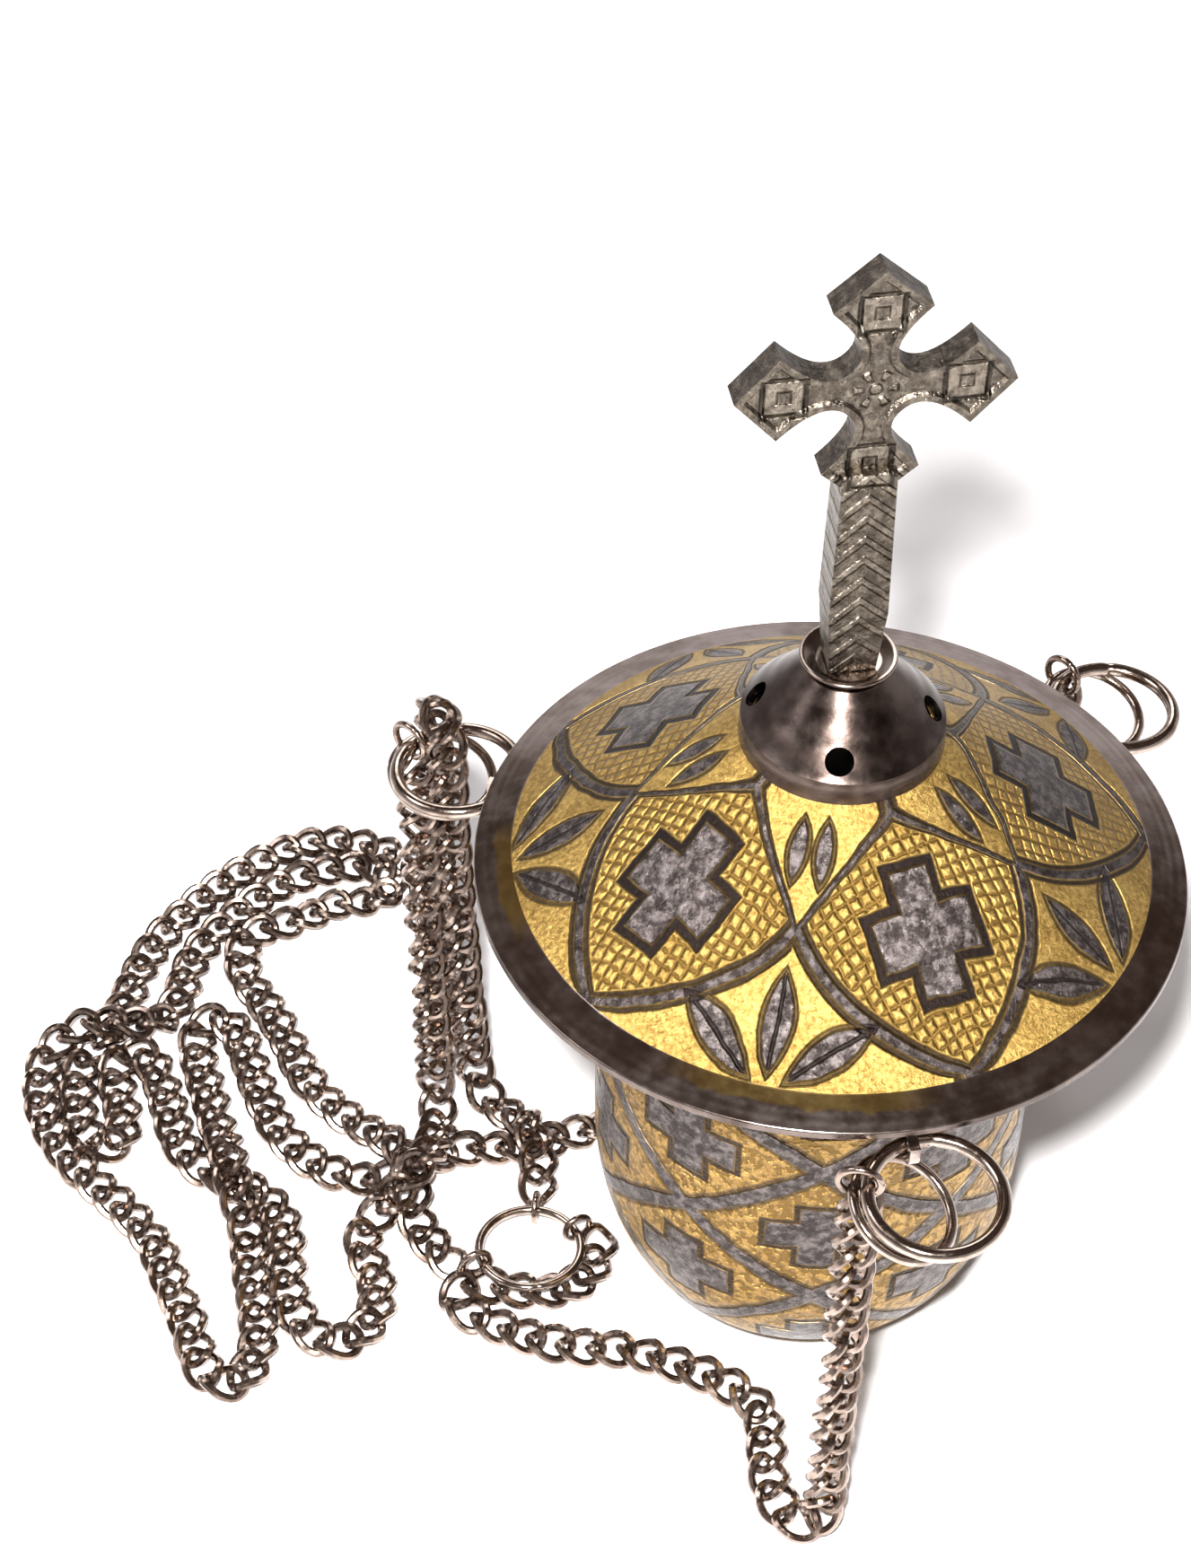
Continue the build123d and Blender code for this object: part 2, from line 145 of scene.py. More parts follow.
class Paint:
    """A material with its object coordinates, in metres, and ways to set what varies over it."""

    def __init__(self, name, colour, metallic, roughness):
        self.material = bpy.data.materials.new(name)
        self.material.use_nodes = True
        tree = self.material.node_tree
        self.shader = tree.nodes["Principled BSDF"]
        coordinates = tree.nodes.new("ShaderNodeTexCoord")
        self.place = Tex(tree, coordinates.outputs["Object"])
        split = tree.nodes.new("ShaderNodeSeparateXYZ")
        tree.links.new(coordinates.outputs["Object"], split.inputs[0])
        self.x, self.y, self.z = (Tex(tree, split.outputs[axis]) for axis in range(3))
        self.set("Base Color", colour)
        self.set("Metallic", metallic)
        self.set("Roughness", roughness)

    def set(self, socket, value):
        self.place.put(self.shader.inputs[socket], value)

    def noise(self, size, detail=3.0, roughness=0.55):
        """Cloudy noise with features of about this size, in metres."""
        values = {"Vector": self.place, "Scale": 1 / size, "Detail": detail, "Roughness": roughness}
        return self.place.node("ShaderNodeTexNoise", **values)

    def bump(self, height, distance, strength=1.0):
        values = {"Height": height, "Distance": distance, "Strength": strength}
        self.set("Normal", self.place.node("ShaderNodeBump", **values))


def rgb(red, green, blue):
    return (red, green, blue, 1.0)


def nickel_wire(name, low, high, rough_low, rough_high):
    """Plated wire: warm grey, a little tarnish in patches, fine drawing marks."""
    paint = Paint(name, high, 1.0, rough_low)
    patches = paint.noise(0.004).ramp(0.35, 0.7)
    grime = paint.noise(0.0011, 2.0).ramp(0.5, 0.75)
    paint.set("Base Color", patches.mix(high, low))
    paint.set("Roughness", patches * (rough_high - rough_low) + grime * 0.1 + rough_low)
    paint.bump(paint.noise(0.0005, 4.0), 0.00004, 0.5)
    return paint.material


def mesh_object(name, vertices, faces, material, body):
    """A smooth-shaded mesh that rides on a body, if any, with its edges over 35 degrees sharp."""
    mesh = bpy.data.meshes.new(name)
    mesh.from_pydata(vertices, [], faces)
    mesh.validate()
    mesh.shade_smooth()
    mesh.set_sharp_from_angle(angle=radians(35))
    mesh.materials.append(material)
    made = bpy.data.objects.new(name, mesh)
    bpy.context.collection.objects.link(made)
    if body:
        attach(made, body)
    return made


def tube_faces(rings, around, first):
    """Quads that close a loop of rings of points into one tube."""
    faces = []
    for ring in range(rings):
        here, there = first + ring * around, first + (ring + 1) % rings * around
        for side in range(around):
            after = (side + 1) % around
            faces.append((here + side, here + after, there + after, there + side))
    return faces


chain_nickel = nickel_wire("chain_nickel", rgb(0.13, 0.092, 0.072), rgb(0.36, 0.285, 0.24), 0.14, 0.30)
LINK_HALF = 0.0034  # along the chain, to the middle of the wire
LINK_SIDE = 0.0026
LINK_WIRE = 0.00068
LINK_PITCH = 0.00455
LINK_TWIST = radians(46)  # each way from the middle of the link
LINK_STEPS = 28  # points along the wire of a link
WIRE_SIDES = 8
LINE_LOWEST = 0.0018  # the chain's line stays this far above the table
END_GAP = 0.0005  # from each end of the line to the middle of its last link
HEADING_REACH = 0.0022  # how far along the line a link looks for its heading
CENTRE_REACH = 0.0012


def link_points():
    """The middle line of one link and, at each point, two directions across its wire."""
    line = []
    for step in range(LINK_STEPS):
        turn = 2 * pi * step / LINK_STEPS
        along, across = LINK_HALF * cos(turn), LINK_SIDE * sin(turn) * (1 + 0.12 * cos(turn) ** 2)
        twist = LINK_TWIST * along / LINK_HALF
        line.append(Vector((along, across * cos(twist), across * sin(twist))))
    shape = []
    for step, point in enumerate(line):
        heading = (line[(step + 1) % LINK_STEPS] - line[step - 1]).normalized()
        outward = (point - heading * point.dot(heading)).normalized()
        upward = heading.cross(outward)
        shape.append((point, outward, upward))
    return shape


def chain(name, route):
    """Links threaded along a smooth line through the route's control points."""
    curve = bpy.data.curves.new(name + "_line", "CURVE")
    curve.dimensions = "3D"
    spline = curve.splines.new("NURBS")
    spline.points.add(len(route) - 1)
    for control, (x, y, z) in zip(spline.points, route):
        control.co = (x, y, max(z, LINE_LOWEST), 1)
    spline.order_u = 3
    spline.use_endpoint_u = True
    curve.resolution_u = 16
    holder = bpy.data.objects.new(name + "_line", curve)
    line_mesh = bpy.data.meshes.new_from_object(holder)
    line = [vertex.co.copy() for vertex in line_mesh.vertices]
    bpy.data.objects.remove(holder)
    run = [0.0]
    for before, after in zip(line, line[1:]):
        run.append(run[-1] + (after - before).length)

    def at(distance):
        distance = min(max(distance, 0.0), run[-1] - 1e-7)
        low = 0
        high = len(run) - 1
        while high - low > 1:
            middle = (low + high) // 2
            if run[middle] <= distance:
                low = middle
            else:
                high = middle
        share = (distance - run[low]) / max(run[high] - run[low], 1e-9)
        return line[low].lerp(line[high], share)

    shape = link_points()
    vertices, faces = [], []
    count = int((run[-1] - 2 * END_GAP) / LINK_PITCH)
    pitch = (run[-1] - 2 * END_GAP) / count
    side = Vector((1, 0, 0))
    for number in range(count + 1):
        centre_at = END_GAP + number * pitch
        ahead = at(centre_at + HEADING_REACH) - at(centre_at - HEADING_REACH)
        centre = (at(centre_at + CENTRE_REACH) + at(centre_at - CENTRE_REACH)) / 2
        ahead.normalize()
        level = Vector((0, 0, 1)).cross(ahead)
        side = side - ahead * side.dot(ahead) + level * (1 - abs(ahead.z)) * 3
        side.normalize()
        lying = ahead.z ** 2 < 0.3
        roll = random.uniform(-1, 1) * (0.16 if lying else 0.3)
        if not lying:
            roll += 0.35 * sin(number * 0.5)
        frame_turn = Matrix((ahead, side, ahead.cross(side))).transposed()
        frame_turn = frame_turn @ Matrix.Rotation(roll, 3, "X")
        frame_turn = frame_turn @ Matrix.Rotation(random.uniform(-0.08, 0.08), 3, "Z")
        first = len(vertices)
        for point, outward, upward in shape:
            for step in range(WIRE_SIDES):
                turn = 2 * pi * step / WIRE_SIDES
                spot = point + (outward * cos(turn) + upward * sin(turn)) * LINK_WIRE
                placed = centre + frame_turn @ spot
                vertices.append((placed.x, placed.y, max(placed.z, 0.0001)))
        faces.extend(tube_faces(LINK_STEPS, WIRE_SIDES, first))
    made = mesh_object(name + "_links", vertices, faces, chain_nickel, None)
    x, y, z = route[0]
    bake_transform(made)
    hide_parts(name)
    return made


front_route = [
    (-0.0072, -0.053, 0.0754), (-0.0077, -0.0533, 0.058), (-0.0076, -0.0539, 0.04),
    (-0.0081, -0.054, 0.024), (-0.0082, -0.0543, 0.012), (-0.0085, -0.0549, 0.0034),
    (-0.0128, -0.0537, 0.0012), (-0.0146, -0.0465, 0.0012), (-0.0132, -0.0395, 0.0012),
    (-0.0124, -0.033, 0.0012), (-0.0175, -0.0273, 0.0012), (-0.0245, -0.0226, 0.0012),
    (-0.0312, -0.019, 0.0012), (-0.0382, -0.0178, 0.0012), (-0.0452, -0.0146, 0.0012),
    (-0.0508, -0.0106, 0.0012), (-0.0546, -0.008, 0.0012), (-0.055, -0.004, 0.0012),
    (-0.0514, -0.0032, 0.0012), (-0.0468, -0.005, 0.0012), (-0.042, -0.0067, 0.0012),
    (-0.0366, -0.0064, 0.0012), (-0.0324, -0.003, 0.0012), (-0.0312, 0.0018, 0.0012),
]
right_route = [
    (0.0453, 0.0369, 0.0754), (0.0446, 0.0376, 0.055), (0.0449, 0.0382, 0.033), (0.0442, 0.0382, 0.013),
    (0.0436, 0.0388, 0.0024), (0.0386, 0.0418, 0.0012), (0.0305, 0.0426, 0.0012),
    (0.0215, 0.0402, 0.0012), (0.012, 0.0386, 0.0012), (0.0025, 0.0352, 0.0012),
    (-0.0075, 0.0324, 0.0012), (-0.0165, 0.0276, 0.0012), (-0.025, 0.0246, 0.0012),
    (-0.033, 0.0238, 0.0012), (-0.0402, 0.0222, 0.0012), (-0.0472, 0.0236, 0.0012),
    (-0.053, 0.0232, 0.0012), (-0.0586, 0.0202, 0.0012), (-0.0644, 0.0194, 0.0012),
    (-0.0702, 0.0216, 0.0012), (-0.0752, 0.0264, 0.0012), (-0.0784, 0.033, 0.0012),
    (-0.0802, 0.0406, 0.0012), (-0.0812, 0.0486, 0.0012), (-0.0824, 0.0554, 0.0012),
    (-0.086, 0.0584, 0.0012), (-0.0894, 0.0548, 0.0012), (-0.0892, 0.048, 0.0012),
    (-0.0882, 0.041, 0.0012), (-0.0876, 0.0344, 0.0012), (-0.0866, 0.0276, 0.004),
    (-0.0862, 0.0196, 0.004), (-0.0848, 0.0126, 0.0012), (-0.0854, 0.0052, 0.0012),
    (-0.085, -0.0026, 0.0012), (-0.0856, -0.0098, 0.0012), (-0.088, -0.0152, 0.0012),
    (-0.0924, -0.016, 0.0012), (-0.095, -0.0114, 0.0012), (-0.0954, -0.0046, 0.0012),
    (-0.0976, 0.0038, 0.0012), (-0.099, 0.0118, 0.0012), (-0.1032, 0.0196, 0.0012),
    (-0.1084, 0.0266, 0.0012), (-0.113, 0.0346, 0.0012), (-0.1152, 0.0434, 0.0012),
    (-0.1146, 0.0516, 0.0012), (-0.1114, 0.0566, 0.0024), (-0.1062, 0.0586, 0.004),
    (-0.0992, 0.057, 0.004), (-0.094, 0.058, 0.0016), (-0.0906, 0.0636, 0.0012),
    (-0.0886, 0.071, 0.0012), (-0.0834, 0.0776, 0.0012), (-0.077, 0.083, 0.0012),
    (-0.0702, 0.0872, 0.0012), (-0.0628, 0.0888, 0.0012), (-0.0564, 0.0886, 0.0012),
    (-0.0526, 0.0864, 0.0012), (-0.0526, 0.082, 0.0012), (-0.0568, 0.0798, 0.0012),
    (-0.063, 0.0806, 0.0012), (-0.0696, 0.0772, 0.0012), (-0.0762, 0.077, 0.0012),
    (-0.0804, 0.072, 0.0012), (-0.0796, 0.0646, 0.0012), (-0.0764, 0.058, 0.0012),
    (-0.0742, 0.0504, 0.0012), (-0.0728, 0.043, 0.0012), (-0.0694, 0.0364, 0.0012),
    (-0.0652, 0.031, 0.0012), (-0.0604, 0.0266, 0.0026), (-0.0586, 0.0226, 0.0039),
    (-0.0584, 0.0166, 0.0039), (-0.0592, 0.0104, 0.0014), (-0.057, 0.0052, 0.0012),
    (-0.0548, 0.0016, 0.0012),
]
left_route = [
    (-0.0538, 0.0374, 0.0754), (-0.0533, 0.0369, 0.058), (-0.0531, 0.0359, 0.04),
    (-0.0527, 0.0352, 0.024), (-0.0522, 0.0352, 0.012), (-0.0525, 0.0346, 0.0042),
    (-0.0521, 0.0306, 0.0016), (-0.053, 0.0264, 0.0038), (-0.0546, 0.0216, 0.0054),
    (-0.0572, 0.0172, 0.0076), (-0.0612, 0.014, 0.0052), (-0.0654, 0.0122, 0.0012),
    (-0.0684, 0.0072, 0.0012), (-0.0664, 0.0014, 0.0012), (-0.0666, -0.0052, 0.0012),
    (-0.07, -0.0104, 0.0012), (-0.0758, -0.0112, 0.0012), (-0.0792, -0.006, 0.0012),
    (-0.0802, 0.0014, 0.0012), (-0.079, 0.0092, 0.0012), (-0.0798, 0.0166, 0.0012),
    (-0.0846, 0.0218, 0.0012), (-0.0904, 0.0252, 0.0012), (-0.0942, 0.0316, 0.0012),
    (-0.0948, 0.0396, 0.0012), (-0.096, 0.0472, 0.0012), (-0.0976, 0.0524, 0.0012),
    (-0.1016, 0.0526, 0.0012), (-0.1032, 0.0474, 0.0012), (-0.102, 0.0398, 0.0012),
    (-0.1028, 0.034, 0.0012), (-0.1066, 0.0326, 0.0012), (-0.1092, 0.0376, 0.0012),
    (-0.1094, 0.0442, 0.0012), (-0.1082, 0.0516, 0.0012), (-0.1034, 0.0566, 0.0012),
    (-0.1, 0.063, 0.0012), (-0.0972, 0.0704, 0.0012), (-0.093, 0.0774, 0.0012),
    (-0.0874, 0.0834, 0.0012), (-0.0808, 0.0886, 0.0012), (-0.0738, 0.0928, 0.0012),
    (-0.0664, 0.096, 0.0012), (-0.0594, 0.0954, 0.0012), (-0.0528, 0.0916, 0.0012),
    (-0.0476, 0.0868, 0.0012), (-0.0466, 0.079, 0.0012), (-0.0476, 0.0702, 0.0012),
    (-0.047, 0.0612, 0.0012), (-0.0486, 0.0524, 0.0012), (-0.0488, 0.0456, 0.0012),
    (-0.05, 0.043, 0.005), (-0.0503, 0.0428, 0.0144), (-0.0498, 0.0432, 0.033),
    (-0.0503, 0.0433, 0.054), (-0.0501, 0.0431, 0.072), (-0.0502, 0.0432, 0.0824),
    (-0.0492, 0.0364, 0.0824), (-0.0491, 0.0362, 0.072), (-0.0487, 0.0368, 0.056),
    (-0.0476, 0.0368, 0.039), (-0.0469, 0.0374, 0.024), (-0.046, 0.0378, 0.012),
    (-0.0455, 0.0373, 0.0044), (-0.0442, 0.0334, 0.0013), (-0.041, 0.0294, 0.0016),
    (-0.0384, 0.026, 0.0038), (-0.0378, 0.0204, 0.0038), (-0.0384, 0.0162, 0.0016),
    (-0.039, 0.0134, 0.0012),
]
chain("chain_front", front_route)
chain("chain_right", right_route)
chain("chain_left", left_route)


# Rings and links
# Wire rings closed by a butt joint: a thick and a thin one at each corner, held together by a
# small end link, and the hanging ring with three small links on it.
ring_nickel = nickel_wire("ring_nickel", rgb(0.22, 0.165, 0.135), rgb(0.46, 0.385, 0.33), 0.09, 0.2)


def measured_ring(node):
    """Centre, axis, radius and wire radius of a CAD ring, from its own vertices."""
    points = [vertex.co.copy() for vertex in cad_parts[node].data.vertices]
    centre = sum(points, Vector()) / len(points)
    spread = Matrix(((0, 0, 0), (0, 0, 0), (0, 0, 0)))
    for point in points:
        away = point - centre
        for row in range(3):
            for column in range(3):
                spread[row][column] += away[row] * away[column] * 1e6
    # the axis is the way in which the points spread least: any start turns towards it
    axis = Vector((0.31, 0.42, 0.85)).normalized()
    inverse = spread.inverted()
    for _ in range(60):
        axis = (inverse @ axis).normalized()
    half = max(abs((point - centre).dot(axis)) for point in points)
    outer = max((point - centre - axis * (point - centre).dot(axis)).length for point in points)
    return centre, axis, outer - half, half


def ring(node, body, material, slot, joint_turn):
    centre, axis, radius, wire = measured_ring(node)
    across = axis.orthogonal().normalized()
    third = axis.cross(across)
    steps, around = 128, 20
    vertices = []
    for step in range(steps):
        turn = 2 * pi * step / steps + joint_turn
        near_joint = min(step, steps - step)
        thin = wire * (1 - 0.16 * (near_joint == 0) - 0.03 * (near_joint == 1))
        outward = across * cos(turn) + third * sin(turn)
        for side in range(around):
            angle = 2 * pi * side / around
            spot = centre + outward * (radius + thin * cos(angle)) + axis * thin * sin(angle)
            vertices.append(spot)
    made = mesh_object(node + "_wire", vertices, tube_faces(steps, around, 0), material, body)
    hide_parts(node)
    return made


for site in ("front", "right", "left"):
    ring(f"thick_ring_{site}", f"thick_ring_{site}", ring_nickel, "ring_nickel", 0.6)
    ring(f"thin_ring_{site}", f"thin_ring_{site}", ring_nickel, "ring_nickel", 2.1)
    ring(f"end_link_{site}", f"thick_ring_{site}", chain_nickel, "chain_nickel", 1.3)
ring("hanging_ring", "hanging_ring", ring_nickel, "ring_nickel", 3.9)
for number, body in (("1", "bowl"), ("2", "bowl"), ("3", "hanging_ring")):
    ring(f"ring_link_{number}", body, chain_nickel, "chain_nickel", 1.0)


# Lid
# A cone of spun sheet with a flat bevelled rim. The cone is chased with five shields, each with
# a cross on a netted ground, and leaf sprigs between them; the ground is gilded and the relief
# is left pewter grey. The rim is bare polished nickel.
def soften(piece, width, angle, segments=2):
    """A small bevel along the edges sharper than this angle, in degrees."""
    rounding = piece.modifiers.new("rounding", "BEVEL")
    rounding.width = width
    rounding.segments = segments
    rounding.limit_method = "ANGLE"
    rounding.angle_limit = radians(angle)


def lathe(name, outline, material, body, segments=256, bevel=0.00015):
    """A solid turned about the Z axis from a closed outline of (radius, height) points."""
    vertices = []
    for step in range(segments):
        turn = 2 * pi * step / segments
        vertices.extend((radius * cos(turn), radius * sin(turn), height) for radius, height in outline)
    made = mesh_object(name, vertices, tube_faces(segments, len(outline), 0), material, body)
    work = bmesh.new()
    work.from_mesh(made.data)
    bmesh.ops.remove_doubles(work, verts=work.verts, dist=1e-6)
    bmesh.ops.dissolve_degenerate(work, edges=work.edges, dist=1e-7)
    bmesh.ops.recalc_face_normals(work, faces=work.faces)
    work.to_mesh(made.data)
    work.free()
    if bevel:
        soften(made, bevel, 30)
    return made


def cross_depth(u, v, half_u, half_v, arm):
    """How far inside an equal-armed cross a point is, in millimetres; negative outside."""
    upright = (half_u - abs(u)).least(arm - abs(v))
    level = (half_v - abs(v)).least(arm - abs(u))
    return upright.most(level)


def leaf_depth(u, v, base, tip, half):
    """How far inside a pointed leaf from base to tip a point is, and its distance from the rib."""
    length = hypot(tip[0] - base[0], tip[1] - base[1])
    du, dv = (tip[0] - base[0]) / length, (tip[1] - base[1]) / length
    along = ((u - base[0]) * du + (v - base[1]) * dv) / length
    off = abs((v - base[1]) * du - (u - base[0]) * dv)
    return along * (1 - along) * 4 * half - off, off


def folded(angle, start, parts):
    """An angle in degrees, folded into one of the repeats round the axis and centred on it."""
    turn = (angle - start) / (360 / parts) + 20.5
    return (turn.math("FRACT") - 0.5) * (360 / parts)


def chased_gilt(gold_deep, gold_bright, relief, outline_mask, pewter_mask, net, net_mask, paint):
    """Joins the masks into gilt ground, pewter relief and dark outlines, with one bump."""
    grain = paint.noise(0.0007, 4.0, 0.75)
    cloud = paint.noise(0.006, 3.0)
    wear = paint.noise(0.0016, 4.0, 0.7)
    gold = (grain * 0.75 + cloud * 0.25).ramp(0.38, 0.66).mix(gold_deep, gold_bright)
    gold = (net * net_mask).ramp(0.1, 0.9).mix(gold, rgb(0.20, 0.115, 0.025))
    pewter = wear.ramp(0.4, 0.68).mix(rgb(0.035, 0.027, 0.025), rgb(0.20, 0.172, 0.165))
    colour = pewter_mask.mix(gold, pewter)
    colour = outline_mask.mix(colour, rgb(0.018, 0.012, 0.010))
    paint.set("Base Color", colour)
    paint.set("Metallic", 0.92)
    paint.set("Roughness", grain * 0.22 + pewter_mask * -0.06 + outline_mask * 0.1 + 0.24)
    height = relief + grain * 0.34 - net * net_mask * 0.35 + wear * pewter_mask * 0.22
    paint.bump(height, 0.001)
    return paint.material


lid_low, lid_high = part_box("lid")
gilt = Paint("gilt_lid", rgb(0.8, 0.6, 0.2), 1.0, 0.3)
mm_x, mm_y = gilt.x * 1000, gilt.y * 1000
reach = (mm_x * mm_x + mm_y * mm_y).math("SQRT")
bearing = mm_y.math("ARCTAN2", mm_x) * degrees(1)
wobble = (gilt.noise(0.009, 2.0) - 0.5) * 1.6
turn = folded(bearing, -78, 5) * radians(1)
u = reach * turn.math("COSINE") + wobble
v = reach * turn.math("SINE") + wobble * 0.6
# shield: a short flaring top, and long bowed sides that meet in a point near the rim
shield_top, shield_widest, shield_tip, shield_half = 15.0, 22.7, 44.5, 16.5
top_share = ((u - shield_top) / (shield_widest - shield_top)).most(0.0).least(1.0)
low_share = ((u - shield_widest) / (shield_tip - shield_widest)).most(0.0).least(0.995)
half_width = (top_share ** 1.3 * shield_half).least((1 - low_share * low_share) ** 0.8 * shield_half)
half_width = half_width * (u - 14.5).ramp(0.0, 0.5)
steepness = (low_share * low_share * 3.4 + 1.3 + (1 - top_share)).math("SQRT")
inside = (half_width - abs(v)) / steepness
band = 0.62 - abs(inside - 0.2)
band_mask = band.ramp(0.0, 0.25)
band_line = (0.42 - abs(abs(inside - 0.2) - 0.85)).ramp(0.0, 0.3)
cross_in = cross_depth(u - 28.8, v, 7.0, 7.2, 2.75)
cross_mask = cross_in.ramp(-0.1, 0.2)
cross_line = cross_in.ramp(-1.35, -0.95) * cross_in.ramp(0.15, -0.2)
net_turn = gilt.noise(0.004, 1.0) * 0.9
net = ((u + v * 0.15 + net_turn) * (2 * pi / 1.55)).math("SINE") * 0.5 + 0.5
net = net.most(((v - u * 0.2 + net_turn) * (2 * pi / 1.7)).math("SINE") * 0.5 + 0.5) ** 3
net_mask = inside.ramp(1.2, 1.8) * cross_in.ramp(-1.1, -1.6)
# sprig of three leaves between two shields, and a pair of small leaves above it
between = folded(bearing, -114, 5) * radians(1)
p = reach * between.math("COSINE") + wobble
q = reach * between.math("SINE") - wobble * 0.6
leaves, ribs = leaf_depth(p, abs(q), (44.0, 2.6), (35.8, 12.6), 1.9)
middle, rib = leaf_depth(p, q, (43.4, 0.0), (32.4, 0.0), 1.9)
pair = leaf_depth(p, abs(q), (16.0, 1.6), (23.0, 1.9), 1.1)[0]
leaf_in = leaves.most(middle).most(pair)
leaf_mask = leaf_in.ramp(-0.05, 0.2)
leaf_line = leaf_in.ramp(-0.75, -0.35) * leaf_in.ramp(0.1, -0.15)
vein = rib.least(ribs).ramp(0.32, 0.1) * leaf_mask
pewter_mask = band_mask.most(cross_mask).most(leaf_mask)
outline_mask = (band_line * 0.95).most(band_mask * 0.35).most(cross_line)
outline_mask = outline_mask.most(leaf_line * 0.85).most(vein * 0.9)
relief = band_mask * 0.35 + cross_mask * 0.55 + leaf_mask * 0.4 - outline_mask * 0.55
gilt_lid = chased_gilt(
    rgb(0.26, 0.155, 0.036), rgb(0.62, 0.42, 0.125), relief, outline_mask, pewter_mask, net,
    net_mask, gilt,
)


def polished(name, low, high, rough, lines=0.0):
    """Plated sheet, polished; lines gives the turning marks their depth."""
    paint = Paint(name, high, 1.0, rough)
    patches = (paint.noise(0.014, 4.0) * 0.6 + paint.noise(0.003, 3.0) * 0.4).ramp(0.38, 0.62)
    spread = (paint.x * paint.x + paint.y * paint.y).math("SQRT")
    rings = (spread * 5200 + paint.z * 2600).math("SINE") * 0.5 + 0.5
    broad = (spread * 1450 + paint.z * 900).math("SINE") * 0.5 + 0.5
    tracks = rings * broad
    paint.set("Base Color", (patches * (1 - tracks * lines)).mix(low, high))
    paint.set("Roughness", patches * 0.05 + tracks * lines * 0.12 + paint.noise(0.0015, 3.0) * 0.06 + rough)
    paint.bump(tracks * lines + paint.noise(0.0006, 3.0) * 0.2, 0.00005)
    return paint.material


def gold_wash(material, inner):
    """Lets the gilding run over the inner part of the bevel at the front and the left."""
    tree = material.node_tree
    shader = tree.nodes["Principled BSDF"]
    base = Tex(tree, shader.inputs["Base Color"].links[0].from_socket)
    coordinates = Tex(tree, tree.nodes["Texture Coordinate"].outputs["Object"])
    x, y = (coordinates.node("ShaderNodeSeparateXYZ", None, axis, i0=coordinates) for axis in range(2))
    spread = ((x * x + y * y).math("SQRT") - inner) * 1000
    bearing = y.math("ARCTAN2", x) * degrees(1)
    ragged = coordinates.node("ShaderNodeTexNoise", Vector=coordinates, Scale=260.0, Detail=3.0) - 0.5
    front = abs(bearing + 108).ramp(26, 14)
    left = abs(bearing + 182).ramp(16, 8) + abs(bearing - 178).ramp(16, 8)
    washed = (front + left).least(1.0) * (spread + ragged * 2.4).ramp(2.3, 1.7)
    base.put(shader.inputs["Base Color"], washed.mix(base, rgb(0.72, 0.52, 0.20)))


rim_nickel = polished("rim_nickel", rgb(0.30, 0.235, 0.205), rgb(0.50, 0.43, 0.395), 0.13, 0.25)
rim_edge, rim_inner = lid_high.x, lid_high.x - 0.005
gold_wash(rim_nickel, rim_inner)
rim_top = lid_low.z + 0.0029
cone_pitch = 0.742  # rise of the lid's cone for each unit inwards
lid = lathe(
    "lid_cone",
    [
        (rim_edge, lid_low.z), (rim_edge, lid_low.z + 0.0012), (rim_inner, rim_top),
        (rim_inner - 0.0003, lid_low.z + 0.0030), (0.0350, rim_top + 0.0100 * cone_pitch),
        (0.0240, rim_top + 0.0210 * cone_pitch), (0.0124, lid_high.z), (0.0124, lid_high.z - 0.0016),
        (0.0438, lid_low.z + 0.0002), (0.0442, lid_low.z),
    ],
    gilt_lid, "lid", 360,
)
lid.data.materials.append(rim_nickel)
# A darker copy of the rim's nickel for the lid's upright outer edge and the bowl's flange: painted shade
# for the shadow under the rim's lip.
shaded_edge_nickel = polished("shaded_edge_nickel", rgb(0.07, 0.052, 0.045), rgb(0.17, 0.135, 0.12), 0.2, 0.1)
lid.data.materials.append(shaded_edge_nickel)
# Faces near upright take the darker copy (painted shade); the rest of the rim and the underside take the
# rim nickel.
for face in lid.data.polygons:
    middle_at = face.center
    outer = hypot(middle_at.x, middle_at.y) > rim_inner - 0.0002
    if outer or face.normal.z < 0.1:
        face.material_index = 2 if abs(face.normal.z) < 0.3 else 1
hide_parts("lid")


def coat(node, material):
    """Gives a CAD piece a better material in its object's own slots."""
    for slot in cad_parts[node].material_slots:
        slot.link = "OBJECT"
        slot.material = material


coat("lid_locating_ring", rim_nickel)


# Smoke cone
# A turned cone of dark nickel plate over the lid's opening, with a short upright skirt and four
# round vents. It is drilled for the stud that holds the cross.
cone_nickel = polished("dark_nickel", rgb(0.06, 0.043, 0.037), rgb(0.15, 0.118, 0.103), 0.17, 0.8)
cone_low, cone_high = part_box("smoke_cone")
cone_rise, shoulder_r, cone_top_r, stud_r, cone_sheet = 0.0090, 0.0139, 0.0058, 0.0015, 0.0012
skirt = cone_high.z - cone_rise
cone = lathe(
    "smoke_cone_shell",
    [
        (0.01287, cone_low.z + 0.0009), (0.01407, cone_low.z), (0.01395, skirt - 0.0006),
        (shoulder_r, skirt), (cone_top_r, cone_high.z), (stud_r, cone_high.z),
        (stud_r, cone_high.z - cone_sheet), (0.00544, cone_high.z - cone_sheet),
        (0.0127, skirt - 0.00036),
    ],
    cone_nickel, "lid", 192, 0.0,
)
vent_mesh = bpy.data.meshes.new("vent_cutter")
work = bmesh.new()
slope = atan2(shoulder_r - cone_top_r, cone_rise)
vent_up, vent_r, vent_depth = 0.0022, 0.00195, 0.0048
